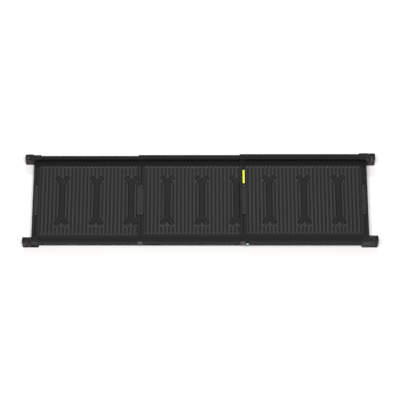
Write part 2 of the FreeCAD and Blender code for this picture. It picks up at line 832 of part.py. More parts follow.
def foot_bracket(this, corner, outward, side):
    """Sleeve round the end of a channel, with a core that the rubber boot is pushed over."""
    sleeve_x = along(corner, outward, "(-sleeve_length)", "sleeve_root")
    inside_x = along(corner, outward, "(-2 * sleeve_length)", "0")
    shell = block(
        sleeve_x,
        (f"{this['face_in']} - sleeve_wall", f"{this['face_out']} + sleeve_wall"),
        (this["bottom"], f"{this['top']} + sleeve_wall"),
        side,
    )
    rounded = round_edges(shell, sizes.sleeve_round, upper_rim)
    rail_room = block(
        inside_x,
        (this["face_in"], this["face_out"]),
        (f"{this['bottom']} - wall", this["top"]),
        side,
    )
    groove_room = block(
        along(corner, outward, "(-2 * sleeve_length)", "2 * sleeve_root"),
        (f"{this['face_in']} - 2 * sleeve_wall", this["face_in"]),
        (f"{this['bottom']} - wall", f"{this['lip_bottom']} + lip_thickness"),
        side,
    )
    core = block(
        along(corner, outward, "0", "core_length"),
        (this["face_in"], this["face_out"]),
        (this["bottom"], this["top"]),
        side,
    )
    sleeve = cut(rounded, [rail_room, groove_room])
    return cut(fuse([sleeve, core]), foot_shanks(this, corner, -outward, side))


def rubber_foot(this, corner, outward, side, bracket):
    """Boot over the bracket's core, with a pad that carries the end of the channel."""
    y = (f"{this['face_in']} - foot_side", f"{OUTER['face_out']} + foot_margin")
    boot = block(
        along(corner, outward, "0", "foot_reach"),
        y,
        ("0", f"{this['top']} + sleeve_wall + foot_cover"),
        side,
    )
    rounded = round_edges(boot, sizes.foot_round, all_but_bottom)
    sole = block(
        along(corner, outward, "(-sleeve_length)", "foot_round"),
        y,
        ("0", this["bottom"]),
        side,
    )
    rounded_sole = round_edges(sole, sizes.foot_round, upright_edges)
    return cut(fuse([rounded, rounded_sole]), [bracket])


def foot_screws(this, corner, outward):
    """Side and top screws of the two feet at one end."""
    x = f"({corner} - {outward} * foot_screw_inset)"
    level = f"{this['bottom']} + foot_screw_level"
    out = (f"{this['face_out']} + sleeve_wall", f"{this['face_out']} + sleeve_wall + foot_screw_rise")
    above = (f"{this['top']} + sleeve_wall", f"{this['top']} + sleeve_wall + foot_screw_rise")
    y = f"({this['face_in']} + {this['face_out']}) / 2"
    pieces = []
    for side_name, side in SIDES:
        side_head = crosswise(x, out, level, "foot_screw_head", side)
        top_head = upright(x, y, above, "foot_screw_head", side)
        pieces.append(round_edges(side_head, sizes.foot_screw_rise * EDGE_SHARE, outward_rim(side)))
        pieces.append(round_edges(top_head, sizes.foot_screw_rise * EDGE_SHARE, upper_rim))
        pieces += foot_shanks(this, corner, -outward, side)
    return fuse(pieces)


for this, corner, outward in ((INNER, INNER["start"], -1), (OUTER, OUTER["end"], 1)):
    for side_name, side in SIDES:
        bracket = foot_bracket(this, corner, outward, side)
        keep(f"{this['name']}_foot_bracket_{side_name}", bracket)
        keep(f"{this['name']}_rubber_foot_{side_name}", rubber_foot(this, corner, outward, side, bracket))
    keep(f"{this['name']}_foot_screws", foot_screws(this, corner, outward))


# ---- Blank marker strip ----

keep("safety_strip", block(
    (f"{OUTER['start']} + strip_inset", f"{OUTER['start']} + strip_inset + strip_width"),
    ("strip_near", "strip_near + strip_length"),
    (OUTER["deck"], f"{OUTER['deck']} + strip_thickness"),
))


# ---- Lock: a spring plunger in the outer section's right-hand channel ----

WEB = OUTER["face_out"]
HOUSING_OUT = f"({WEB} + lock_depth)"
CAVITY_OUT = f"({HOUSING_OUT} - lock_cap)"
FLANGE_IN = f"({WEB} + flange_lift)"
FLANGE_OUT = f"({FLANGE_IN} + flange_thickness)"
KNOB_IN = f"({HOUSING_OUT} + knob_lift)"


def lock_rod(near, far, radius):
    return crosswise(LOCK_X, (near, far), LOCK_Z, radius, -1)


def lock_housing():
    """Cup on the channel's wall, bored for the plunger."""
    cup = round_edges(lock_rod(WEB, HOUSING_OUT, "lock_radius"), sizes.lock_cap, outward_rim(-1))
    cavity = lock_rod(WEB, CAVITY_OUT, "cavity_radius")
    bore = lock_rod(WEB, f"{HOUSING_OUT} + wall", "plunger_radius + plunger_play")
    return cut(cup, [cavity, bore])


def lock_plunger():
    """Pin with a flange that the spring pushes towards the rail."""
    tip = f"({MIDDLE['face_out']} + plunger_tip_gap)"
    return fuse([
        lock_rod(tip, f"{KNOB_IN} + knob_bore", "plunger_radius"),
        lock_rod(FLANGE_IN, FLANGE_OUT, "flange_radius"),
    ])


def lock_knob():
    """Round pull on the end of the plunger."""
    disc = lock_rod(KNOB_IN, f"{KNOB_IN} + knob_depth", "knob_radius")
    rounded = round_edges(disc, sizes.lock_cap, outward_rim(-1))
    return cut(rounded, [lock_rod(KNOB_IN, f"{KNOB_IN} + knob_bore", "plunger_radius")])


def lock_spring():
    """Envelope of the small coil between the flange and the cup's cap."""
    outer_rod = lock_rod(FLANGE_OUT, CAVITY_OUT, "flange_radius")
    return cut(outer_rod, [lock_rod(FLANGE_OUT, CAVITY_OUT, "flange_radius - spring_wall")])


keep("lock_housing", lock_housing())
keep("lock_plunger", lock_plunger())
keep("lock_knob", lock_knob())
keep("lock_spring", lock_spring())


# ---- Check every object, then write the sub-parts ----

doc.recompute()
for item in doc.Objects:
    if "Invalid" in item.State or "Error" in item.State:
        raise RuntimeError(f"{item.Name} ({item.Label}) failed: {item.State}")
for name, item in nodes.items():
    if item.Shape.isNull() or not item.Shape.isValid() or not item.Shape.Solids:
        raise RuntimeError(f"{name} has no valid solid")

os.makedirs("parts", exist_ok=True)
for name, item in nodes.items():
    item.Shape.exportStep(f"parts/{name}.step")
print(f"{len(nodes)} sub-parts written")
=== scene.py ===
"""Looks of a telescoping pet ramp, built around its CAD frame."""

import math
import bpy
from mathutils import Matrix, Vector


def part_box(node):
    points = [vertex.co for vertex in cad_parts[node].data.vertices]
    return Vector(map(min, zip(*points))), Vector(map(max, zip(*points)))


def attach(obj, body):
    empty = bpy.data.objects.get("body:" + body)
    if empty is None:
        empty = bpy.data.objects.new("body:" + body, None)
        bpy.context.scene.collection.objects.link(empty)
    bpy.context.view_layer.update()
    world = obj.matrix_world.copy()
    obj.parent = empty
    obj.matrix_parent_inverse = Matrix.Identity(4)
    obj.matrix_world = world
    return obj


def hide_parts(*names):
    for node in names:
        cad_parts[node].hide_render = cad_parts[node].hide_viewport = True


bl_info = {
    "name": "Telescoping pet ramp",
    "version": (1, 0, 0),
    "blender": (4, 5, 0),
    "location": "View3D > Sidebar > Ramp",
    "description": "Decks, channels, feet and fittings of a three-section pet ramp",
    "category": "Object",
}

import bmesh
import bpy
from bpy.props import FloatProperty, FloatVectorProperty, IntProperty, PointerProperty
from mathutils import Matrix, Vector

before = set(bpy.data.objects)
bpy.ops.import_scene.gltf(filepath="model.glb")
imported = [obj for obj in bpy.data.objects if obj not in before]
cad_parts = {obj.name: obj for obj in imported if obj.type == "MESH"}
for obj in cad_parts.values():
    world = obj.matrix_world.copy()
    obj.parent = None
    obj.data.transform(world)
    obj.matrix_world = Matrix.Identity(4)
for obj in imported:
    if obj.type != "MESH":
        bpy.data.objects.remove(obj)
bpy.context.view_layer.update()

MM = 0.001
HAIR = 0.1 * MM  # tolerance for telling faces and edges apart by height
OFF_FLOOR = 1 * MM  # anything over this height isn't on the floor
SAME = 1e-6  # vertices closer than this are one

SECTIONS = ("inner", "middle", "outer")
SIDES = ("left", "right")

# Material slots
# A deck's third slot takes the darkest plastic as painted shade in the moats and grooves.
SMOOTH, GRITTY, PAINTED_SHADE = 0, 1, 2  # of a deck
# A grip's second slot takes the darkest plastic as painted shade round the pad.
SEAM_SHADE = 1  # of a grip
HIGHLIGHT_DOME, RING = 0, 1  # of the knob

MOAT_NOTCH = 1.5  # a moat's notch is this many moat widths further out than the bone's
LOBE_STEPS = 12  # straight steps round each lobe of a bone
RIB_END_STEPS = 17  # an odd number, so that no vertex lies between the two halves of a rib
STUD_TAPER = 0.7  # a stud's tip, as a share of its foot

# Profile of the knob, from its back: shares of its radius and of its depth
KNOB_RING = ((0.0, 0.0), (0.9, 0.0), (1.0, 0.08), (1.0, 0.2), (0.94, 0.3), (0.86, 0.25))
DOME_STEPS = 7


def linear(hex_colour):
    """Linear RGBA of an sRGB hex colour."""
    channels = [int(hex_colour[i:i + 2], 16) / 255 for i in (1, 3, 5)]
    light = [c / 12.92 if c <= 0.04045 else ((c + 0.055) / 1.055) ** 2.4 for c in channels]
    return (*light, 1.0)


def length(name, description, default):
    """Property for a length in metres."""
    return FloatProperty(
        name=name, description=description, default=default, min=0.0, unit="LENGTH")


def colour(name, description, hex_colour):
    """Property for a colour, given as sRGB hex."""
    return FloatVectorProperty(
        name=name, description=description, default=linear(hex_colour), size=4, min=0.0, max=1.0,
        subtype="COLOR")


# ---- Settings ----

class RampDeckSettings(bpy.types.PropertyGroup):
    """Sizes of the ribs, bones and margins on each deck."""
    rib_count: IntProperty(name="Ribs", description="Ribs across each deck", default=30, min=1)
    rib_pitch: length("Rib pitch", "Distance from one rib to the next", 19.4 * MM)
    rib_width: length("Rib width", "Width of one rib", 9.7 * MM)
    rib_height: length("Rib height", "Height of the ribs and bones over the valleys", 1.6 * MM)
    rib_margin: length("Rib margin", "From a rib's end to the groove beside the deck", 15.5 * MM)
    rib_taper: length("Rib taper", "Length of the gentle slope at each end of a rib", 9 * MM)
    edge_soft: length("Edge rounding", "Rounding of the upper edges of ribs and bones", 1.1 * MM)
    bone_count: IntProperty(
        name="Bones", description="Bone-shaped pads on each deck", default=3, min=1)
    bone_pitch: length("Bone pitch", "Distance from one bone to the next", 174.6 * MM)
    bone_length: length("Bone length", "Length of a bone across the ramp", 269 * MM)
    bone_shaft: length("Bone shaft", "Width of a bone's straight part", 25 * MM)
    lobe_radius: length("Lobe radius", "Radius of the four round lobes of a bone", 12 * MM)
    lobe_offset: length("Lobe offset", "From a bone's long axis to the centre of a lobe", 21 * MM)
    lobe_length: length("Lobe length", "From a bone's end to the start of its shaft", 41 * MM)
    notch_depth: length("Notch depth", "From a bone's end to the bottom of its notch", 26 * MM)
    bone_moat: length("Moat", "Clear width round a bone", 4 * MM)
    groove_width: length("Groove width", "Width of the groove beside each end bar", 3.2 * MM)
    groove_sink: length("Groove depth", "Depth of the groove beside each end bar", 1.2 * MM)
    moat_floor: length("Moat floor", "Height of the moat's smooth floor over the grit", 0.2 * MM)
    field_start: length("Field start", "From the deck's end to the gritty field", 19 * MM)
    edge_play: length("Edge play", "Gap between the plate and what it meets", 0.3 * MM)
    tongue_rise: length("Tongue rise", "From the plate's underside to its tongues", 0.4 * MM)
    tongue_thickness: length("Tongue thickness", "Thickness of the side tongues", 2.0 * MM)


class RampGripSettings(bpy.types.PropertyGroup):
    """Sizes of the soft grips near the section ends."""
    thickness: length("Pad thickness", "Thickness of the flat pad", 1.6 * MM)
    ridge_width: length("Ridge width", "Width of the raised ridge", 10 * MM)
    boss_room: length("Boss room", "From a screw head's outer side to the ridge's end", 14.5 * MM)
    pad_round: length("Pad rounding", "Rounding of the pad's upper edges", 0.8 * MM)
    ridge_round: length("Ridge rounding", "Rounding of the ridge's upper edges", 1.9 * MM)
    # The seam and the seats round the screws are painted dark as the shade round the pad.
    seam: length("Seam", "Width of the dark seam round a pad", 1.5 * MM)
    seam_rise: length("Seam height", "How far the seam stands over its base", 0.25 * MM)
    seam_sink: length("Seam depth", "How far the seam reaches into the deck", 0.5 * MM)
    boss_seam: length("Boss seam", "Radius of the dark seat round a screw head", 8.6 * MM)


class RampFootSettings(bpy.types.PropertyGroup):
    """Sizes of the tread on the rubber feet."""
    soft: length("Edge rounding", "Rounding of the boot's edges", 5 * MM)
    stud_pitch: length("Stud pitch", "Distance between the tread's studs", 13 * MM)
    stud_radius: length("Stud radius", "Radius of one stud", 3.8 * MM)
    stud_height: length("Stud height", "How far a stud stands out", 1.8 * MM)


class RampFinishSettings(bpy.types.PropertyGroup):
    """Colours of the finishes."""
    coat: colour("Powder coat", "Coated aluminium channels", "#1d1e1f")
    rib: colour("Rib plastic", "Smooth ribs, bones and margins", "#171718")
    grit: colour("Grit plastic", "Gritty valleys between the ribs", "#2a2a2b")
    # Painted shade: this near-black stands for the shade in the moats, the grooves and the grip
    # seams.
    moat: colour("Moat plastic", "Floors of the moats and grooves", "#080809")
    bar: colour("Bar plastic", "Bars across the deck ends", "#141416")
    collar: colour("Collar plastic", "Polished collars", "#161617")
    fitting: colour("Fitting plastic", "Brackets and lock cup", "#101011")
    grip: colour("Grip rubber", "Soft grips near the ends", "#151517")
    foot: colour("Foot rubber", "Boots under the ends", "#181614")
    speck: colour("Rubber specks", "Pale specks in the foot rubber", "#716f69")
    nylon: colour("Glide nylon", "Glide blocks inside the channels", "#9b9a94")
    steel: colour("Steel", "Plunger and spring", "#b4b5b8")
    screw: colour("Blackened steel", "Domed screws of the grips", "#414347")
    rivet: colour("Painted steel", "Rivets and foot screws", "#232426")
    marker: colour("Marker film", "Blank bright strip", "#fbff45")
    # Painted highlight: the dome's near white is the knob's own pale blue, lightened.
    knob: colour("Knob", "Pale dome of the lock knob", "#e6fbff")
    knob_ring: colour("Knob ring", "Blue ring round the knob's dome", "#2f7fc4")


class RampStageSettings(bpy.types.PropertyGroup):
    """Floor, lights and camera."""
    floor: colour("Floor", "Seamless pale floor", "#fbfbfb")
    elevation: FloatProperty(
        name="Elevation", description="Camera angle over the floor", default=math.radians(65.0),
        subtype="ANGLE")
    distance: length("Distance", "From the camera to its target", 9.849)
    lens: FloatProperty(
        name="Lens", description="Focal length in millimetres", default=175.7, unit="CAMERA")
    target_height: length("Target height", "Height of the point that the camera looks at", 27 * MM)
    surroundings: FloatProperty(
        name="Surroundings", description="Strength of the even white surroundings", default=0.34,
        min=0.0)


SETTINGS = (
    ("ramp_deck", RampDeckSettings),
    ("ramp_grip", RampGripSettings),
    ("ramp_foot", RampFootSettings),
    ("ramp_finish", RampFinishSettings),
    ("ramp_stage", RampStageSettings),
)


# ---- Materials ----

def add_node(tree, kind, fields=None, inputs=None):
    """Add a node, set its fields, and set or link its inputs."""
    made = tree.nodes.new(kind)
    for name, value in (fields or {}).items():
        setattr(made, name, value)
    for name, value in (inputs or {}).items():
        if isinstance(value, bpy.types.NodeSocket):
            tree.links.new(value, made.inputs[name])
        else:
            made.inputs[name].default_value = value
    return made


def new_material(name, **sockets):
    """Material with a Principled shader.

    Returns the material, its tree, its shader and the object coordinates.
    """
    material = bpy.data.materials.new(name)
    material.use_nodes = True
    tree = material.node_tree
    shader = tree.nodes["Principled BSDF"]
    for socket, value in sockets.items():
        shader.inputs[socket.replace("_", " ")].default_value = value
    coordinates = add_node(tree, "ShaderNodeTexCoord")
    material.diffuse_color = shader.inputs["Base Color"].default_value
    return material, tree, shader, coordinates.outputs["Object"]


def textured(name, base, second, share, grain, depth, rough, ior=1.46, detail=3.0, **sockets):
    """Moulding or coat: two close colours and a bump, both from a noise of real size.

    second says how many times lighter the second colour is, and share how much of the surface
    takes it. grain is the texture's spacing and depth its height, in metres. rough holds the
    lowest and highest roughness, which change over patches of 40 mm.
    """
    material, tree, shader, place = new_material(name, IOR=ior, **sockets)
    noise = add_node(tree, "ShaderNodeTexNoise", None, {
        "Vector": place, "Scale": 1 / grain, "Detail": detail, "Roughness": 0.6})
    spread = add_node(tree, "ShaderNodeValToRGB", None, {"Fac": noise.outputs["Fac"]})
    spread.color_ramp.elements[0].position = 0.62 - share / 2
    spread.color_ramp.elements[0].color = base
    spread.color_ramp.elements[1].position = 0.70
    spread.color_ramp.elements[1].color = lighter(base, second)
    patches = add_node(tree, "ShaderNodeTexNoise", None, {
        "Vector": place, "Scale": 1 / (40 * MM), "Detail": 2.0})
    range_rough = add_node(tree, "ShaderNodeMapRange", None, {
        "Value": patches.outputs["Fac"], "To Min": rough[0], "To Max": rough[1]})
    bump = add_node(tree, "ShaderNodeBump", None, {
        "Height": noise.outputs["Fac"], "Strength": 1.0, "Distance": depth})
    tree.links.new(spread.outputs["Color"], shader.inputs["Base Color"])
    tree.links.new(range_rough.outputs["Result"], shader.inputs["Roughness"])
    tree.links.new(bump.outputs["Normal"], shader.inputs["Normal"])
    return material


def lighter(base, factor):
    """The same colour, factor times as light."""
    return tuple(min(1.0, c * factor) for c in base[:3]) + (1.0,)


def powder_coat(finish):
    """Polyester powder coat on aluminium: a satin skin with fine orange peel."""
    return textured(
        "powder_coat", finish.coat, second=1.5, share=0.3, grain=2.2 * MM, depth=0.05 * MM,
        rough=(0.48, 0.58), Specular_IOR_Level=0.08)


def rib_polypropylene(finish):
    """Moulded polypropylene, smooth from the tool: soft highlights and faint flow marks."""
    return textured(
        "rib_polypropylene", finish.rib, second=1.6, share=0.3, grain=9 * MM, depth=0.01 * MM,
        rough=(0.30, 0.36), Specular_IOR_Level=0.35)


def grit_polypropylene(finish):
    """The same plastic from a spark-eroded tool: grit of 1 mm, drawn at 3 mm so that it shows."""
    return textured(
        "grit_polypropylene", finish.grit, second=2.2, share=0.35, grain=3 * MM, depth=0.5 * MM,
        rough=(0.55, 0.68), detail=5.0, Specular_IOR_Level=0.3)


def shade_painted_polypropylene(finish):
    """The decks' plastic, matte where the tool was left rough, and made the darkest of the moulding
    as painted shade: it stands for the shade in the moats round the bones, the grooves beside the
    end bars and the seams round the grips.
    """
    return textured(
        "shade_painted_polypropylene", finish.moat, second=1.5, share=0.3, grain=2 * MM, depth=0.1 * MM,
        rough=(0.6, 0.7), Specular_IOR_Level=0.2)


def bar_polypropylene(finish):
    """Edge bars from a finely textured tool, polished along the top by paws."""
    return textured(
        "bar_polypropylene", finish.bar, second=1.5, share=0.3, grain=2 * MM, depth=0.04 * MM,
        rough=(0.30, 0.42), Specular_IOR_Level=0.4)


def collar_acetal(finish):
    """Polished acetal: slippery and glossy, so every edge catches a bright line."""
    return textured(
        "collar_acetal", finish.collar, second=1.3, share=0.2, grain=12 * MM, depth=0.02 * MM,
        rough=(0.26, 0.34), Specular_IOR_Level=0.3)


def fitting_nylon(finish):
    """Glass-filled nylon: dull, with pale fibre flecks at the surface."""
    return textured(
        "fitting_nylon", finish.fitting, second=3.0, share=0.12, grain=1.6 * MM, depth=0.06 * MM,
        rough=(0.45, 0.6), Specular_IOR_Level=0.3)


def grip_elastomer(finish):
    """Thermoplastic elastomer: soft and matte, moulded with cross ribs that stop paws slipping."""
    material, tree, shader, place = new_material(
        "grip_elastomer", Base_Color=finish.grip, Roughness=0.62, IOR=1.5)
    wave = add_node(tree, "ShaderNodeTexWave", {"bands_direction": "Y"}, {
        "Vector": place, "Scale": 62.0})
    noise = add_node(tree, "ShaderNodeTexNoise", None, {
        "Vector": place, "Scale": 1 / (1.5 * MM), "Detail": 3.0})
    height = add_node(tree, "ShaderNodeMath", {"operation": "MULTIPLY_ADD"}, {
        0: noise.outputs["Fac"], 1: 0.3, 2: wave.outputs["Fac"]})
    bump = add_node(tree, "ShaderNodeBump", None, {
        "Height": height.outputs["Value"], "Strength": 0.7, "Distance": 0.4 * MM})
    tree.links.new(bump.outputs["Normal"], shader.inputs["Normal"])
    return material


def foot_rubber(finish):
    """Moulded rubber with crumb in it: warm black and dusty.

    The crumb is about 3 mm in such rubber, drawn at 11 mm so that it shows.
    """
    material, tree, shader, place = new_material("foot_rubber", IOR=1.52, Specular_IOR_Level=0.25)
    cells = add_node(tree, "ShaderNodeTexVoronoi", None, {"Vector": place, "Scale": 1 / (11 * MM)})
    spread = add_node(tree, "ShaderNodeValToRGB", None, {"Fac": cells.outputs["Distance"]})
    spread.color_ramp.elements[0].position = 0.20
    spread.color_ramp.elements[0].color = finish.speck
    spread.color_ramp.elements[1].position = 0.34
    spread.color_ramp.elements[1].color = finish.foot
    dust = add_node(tree, "ShaderNodeTexNoise", None, {
        "Vector": place, "Scale": 1 / (14 * MM), "Detail": 4.0})
    rough = add_node(tree, "ShaderNodeMapRange", None, {
        "Value": dust.outputs["Fac"], "To Min": 0.55, "To Max": 0.8})
    bump = add_node(tree, "ShaderNodeBump", None, {
        "Height": cells.outputs["Distance"], "Strength": 0.6, "Distance": 0.3 * MM})
    tree.links.new(spread.outputs["Color"], shader.inputs["Base Color"])
    tree.links.new(rough.outputs["Result"], shader.inputs["Roughness"])
    tree.links.new(bump.outputs["Normal"], shader.inputs["Normal"])
    return material


def glide_nylon(finish):
    """Self-lubricating natural nylon, a little waxy."""
    return textured(
        "glide_nylon", finish.nylon, second=1.15, share=0.4, grain=6 * MM, depth=0.04 * MM,
        rough=(0.35, 0.5), ior=1.53)


def black_oxide(name, base):
    """Steel screws with a black oxide skin: thin, so the metal shows through."""
    material, tree, shader, place = new_material(name, Metallic=0.8)
    noise = add_node(tree, "ShaderNodeTexNoise", None, {
        "Vector": place, "Scale": 1 / (2.5 * MM), "Detail": 3.0})
    spread = add_node(tree, "ShaderNodeValToRGB", None, {"Fac": noise.outputs["Fac"]})
    spread.color_ramp.elements[0].color = base
    spread.color_ramp.elements[1].color = lighter(base, 2.2)
    rough = add_node(tree, "ShaderNodeMapRange", None, {
        "Value": noise.outputs["Fac"], "To Min": 0.28, "To Max": 0.45})
    tree.links.new(spread.outputs["Color"], shader.inputs["Base Color"])
    tree.links.new(rough.outputs["Result"], shader.inputs["Roughness"])
    return material


def turned_steel(finish):
    """Steel turned on a lathe: fine rings round the pin."""
    material, tree, shader, place = new_material(
        "turned_steel", Base_Color=finish.steel, Metallic=1.0, Roughness=0.28)
    wave = add_node(tree, "ShaderNodeTexWave", {"bands_direction": "Y"}, {
        "Vector": place, "Scale": 700.0})
    bump = add_node(tree, "ShaderNodeBump", None, {
        "Height": wave.outputs["Fac"], "Strength": 0.4, "Distance": 0.05 * MM})
    tree.links.new(bump.outputs["Normal"], shader.inputs["Normal"])
    return material


def marker_vinyl(finish):
    """Self-adhesive vinyl film in a bright yellow, with a slight ripple from the deck under it."""
    return textured(
        "marker_vinyl", finish.marker, second=0.93, share=0.3, grain=7 * MM, depth=0.05 * MM,
        rough=(0.32, 0.42))


def knob_acetal(name, base):
    """Polished acetal: light goes a little way in, so its edges stay bright."""
    material, tree, shader, place = new_material(
        name, Base_Color=base, Roughness=0.18, IOR=1.48, Subsurface_Weight=0.2)
    noise = add_node(tree, "ShaderNodeTexNoise", None, {
        "Vector": place, "Scale": 1 / (4 * MM), "Detail": 2.0})
    bump = add_node(tree, "ShaderNodeBump", None, {
        "Height": noise.outputs["Fac"], "Strength": 0.3, "Distance": 0.04 * MM})
    tree.links.new(bump.outputs["Normal"], shader.inputs["Normal"])
    return material


def paint(nodes, material):
    """Give CAD nodes a material."""
    for name in nodes:
        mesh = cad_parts[name].data
        mesh.materials.clear()
        mesh.materials.append(material)


def named(*words):
    """CAD nodes whose name holds any of the words."""
    return [name for name in sorted(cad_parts) if any(word in name for word in words)]


# ---- Mesh helpers ----

def slab(bm, low, high):
    """Closed box between two corners; returns its vertices."""
    size = [high[i] - low[i] for i in range(3)]
    centre = [(high[i] + low[i]) / 2 for i in range(3)]
    place = Matrix.Translation(centre) @ Matrix.Diagonal((*size, 1.0))
    return bmesh.ops.create_cube(bm, size=1.0, matrix=place)["verts"]


def soften(bm, edges, width, segments=2):
    """Round edges."""
    bmesh.ops.bevel(
        bm, geom=edges, offset=width, offset_type="OFFSET", segments=segments, profile=0.5,
        affect="EDGES", material=-1, clamp_overlap=True)


def cut_across(bm, point, direction):
    """Cut every face with a plane, and keep both sides."""
    bmesh.ops.bisect_plane(
        bm, geom=bm.verts[:] + bm.edges[:] + bm.faces[:], plane_co=point, plane_no=direction)


def swept(bm, outline, offset):
    """Extrude a face into a closed solid; returns the vertices of its far end."""
    made = bmesh.ops.extrude_face_region(bm, geom=[outline], use_keep_orig=True)["geom"]
    far_end = [item for item in made if isinstance(item, bmesh.types.BMVert)]
    bmesh.ops.translate(bm, vec=offset, verts=far_end)
    return far_end


def edges_of(vertices):
    """Edges that meet the vertices, each once."""
    return list(dict.fromkeys(edge for vertex in vertices for edge in vertex.link_edges))


def rim_of(vertices):
    """Edges that join two of the vertices."""
    return [edge for edge in edges_of(vertices) if all(v in vertices for v in edge.verts)]


def lowest(edge):
    return min(vertex.co.z for vertex in edge.verts)


def highest(edge):
    return max(vertex.co.z for vertex in edge.verts)


def paint_faces(vertices, slot):
    """Give the faces round some vertices a material slot."""
    for vertex in vertices:
        for face in vertex.link_faces:
            face.material_index = slot


def finish_piece(name, bm, materials, body, replaced, crease=50):
    """Make the piece's object, hide the nodes that it stands for, and attach it to the body that it
    moves with.

    Edges that turn by more than crease degrees stay sharp.
    """
    bmesh.ops.recalc_face_normals(bm, faces=bm.faces)
    mesh = bpy.data.meshes.new(name)
    bm.to_mesh(mesh)
    bm.free()
    for material in materials:
        mesh.materials.append(material)
    piece = bpy.data.objects.new(name, mesh)
    bpy.context.scene.collection.objects.link(piece)
    mesh.shade_smooth()
    mesh.set_sharp_from_angle(angle=math.radians(crease))
    piece.modifiers.new("even_normals", "WEIGHTED_NORMAL").keep_sharp = True
    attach(piece, body)
    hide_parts(*replaced)
    return piece


# ---- Decks ----

def lobe_arc(centre, radius, start, stop, steps):
    """Points along an arc."""
    angles = [start + (stop - start) * i / steps for i in range(steps + 1)]
    return [(centre[0] + radius * math.cos(a), centre[1] + radius * math.sin(a)) for a in angles]


def bone_outline(deck, grow):
    """Points of a bone around its centre, or of its moat, which is wider by grow.

    A quarter runs from the shaft's shoulder, round the lobe from one tangent point to the other,
    to the bottom of the notch.
    """
    radius = deck.lobe_radius + grow
    lobe = (deck.lobe_offset, deck.bone_length / 2 - deck.lobe_radius)
    shoulder = (deck.bone_shaft / 2 + grow, deck.bone_length / 2 - deck.lobe_length)
    across, along = lobe[0] - shoulder[0], lobe[1] - shoulder[1]
    outer_touch = math.atan2(-along, -across) + math.acos(radius / math.hypot(across, along))
    notch = (0.0, deck.bone_length / 2 - deck.notch_depth + MOAT_NOTCH * grow)
    rise = lobe[1] - notch[1]
    turn = math.acos(radius / math.hypot(lobe[0], rise))
    inner_touch = math.atan2(-rise, -lobe[0]) + math.tau - turn
    quarter = [shoulder] + lobe_arc(lobe, radius, outer_touch, inner_touch, LOBE_STEPS) + [notch]
    right_half = quarter + [(-x, y) for x, y in reversed(quarter[:-1])]
    return right_half + [(-x, -y) for x, y in right_half]


def blocked_span(deck, offset):
    """The stretch of a rib, from its middle outward, that a bone's moat takes.

    None where the moat takes nothing.
    """
    near_edge = abs(offset) - deck.rib_width / 2
    far_edge = abs(offset) + deck.rib_width / 2
    outline = [(x, y) for x, y in bone_outline(deck, deck.bone_moat) if x > 0 and y > 0]
    crossed = [y for x, y in outline if x > near_edge]
    if not crossed:
        return None
    top = max([y for x, y in outline if near_edge < x < far_edge] or [max(crossed)])
    bottom = 0.0 if near_edge < deck.bone_shaft / 2 + deck.bone_moat else min(crossed)
    return bottom, top


def rib_stretches(deck, offset, half_length):
    """The stretches of one rib that are left between the moats."""
    span = blocked_span(deck, offset)
    if span is None:
        return [(-half_length, half_length)]
    bottom, top = span
    ends = [(top, half_length), (-half_length, -top)]
    return ends if bottom == 0.0 else ends + [(-bottom, bottom)]


def rib(bm, x, start, stop, floor, deck):
    """Rib with half-round ends that slope gently down, and softened upper edges."""
    ring = bmesh.ops.create_circle(
        bm, cap_ends=True, segments=RIB_END_STEPS, radius=deck.rib_width / 2)["verts"]
    straight = (stop - start - deck.rib_width) / 2
    taper = min(deck.rib_taper, straight / 2)
    middle = (start + stop) / 2
    for vertex in ring:
        vertex.co.y += math.copysign(straight, vertex.co.y)
    bmesh.ops.translate(bm, vec=(x, middle, floor), verts=ring)
    top = swept(bm, ring[0].link_faces[0], (0, 0, deck.rib_height))
    for vertex in top:
        vertex.co.y -= math.copysign(taper, vertex.co.y - middle)
    soften(bm, rim_of(top), deck.edge_soft)


def bone(bm, x, floor, deck):
    """Raised bone with softened upper edges, in a moat whose smooth floor is painted dark as the
    shade round the bone.
    """
    for grow, height in ((deck.bone_moat, deck.moat_floor), (0.0, deck.rib_height)):
        ring = [bm.verts.new((x + px, py, floor)) for px, py in bone_outline(deck, grow)]
        top = swept(bm, bm.faces.new(ring), (0, 0, height))
        if grow:
            # Painted shade: the moat's floor and sides take the darkest plastic.
            paint_faces(ring + top, PAINTED_SHADE)
    soften(bm, rim_of(top), deck.edge_soft)


def plate(bm, low, high, half_width, deck, field):
    """Plate with thin tongues along its edges; the gritty field is a region of its top.

    field holds where the field starts and stops along the ramp, and its half width.
    """
    start, stop, half_field = field
    top = high.z - deck.rib_height
    tongue_low = low.z + deck.tongue_rise
    tongue_high = tongue_low + deck.tongue_thickness
    profile = (
        (half_width, low.z), (half_width, tongue_low), (high.y, tongue_low), (high.y, tongue_high),
        (half_width, tongue_high), (half_width, top),
    )
    ring = [bm.verts.new((low.x, y, z)) for y, z in profile]
    ring += [bm.verts.new((low.x, -y, z)) for y, z in reversed(profile)]
    swept(bm, bm.faces.new(ring), (high.x - low.x, 0, 0))
    for x in (start, stop):
        cut_across(bm, (x, 0, 0), (1, 0, 0))
    for y in (-half_field, half_field):
        cut_across(bm, (0, y, 0), (0, 1, 0))
    for face in bm.faces:
        middle = face.calc_center_median()
        in_field = start < middle.x < stop and abs(middle.y) < half_field
        face.material_index = GRITTY if in_field and middle.z > top - HAIR else SMOOTH


def end_groove(bm, start, stop, top, deck):
    """Groove in the deck beside an end bar, painted dark as the shade in it."""
    floor = []
    for x in (start, stop):
        cut_across(bm, (x, 0, 0), (1, 0, 0))
    for face in bm.faces:
        middle = face.calc_center_median()
        if start < middle.x < stop and middle.z > top - HAIR:
            floor.append(face)
    walls = bmesh.ops.inset_region(
        bm, faces=floor, thickness=HAIR, depth=-deck.groove_sink, use_even_offset=True)["faces"]
    # Painted shade: the groove's floor and walls take the darkest plastic.
    for face in floor + walls:
        face.material_index = PAINTED_SHADE


def evenly_spaced(centre, count, pitch):
    """Places a pitch apart, spread evenly round a centre."""
    return [centre + (i - (count - 1) / 2) * pitch for i in range(count)]


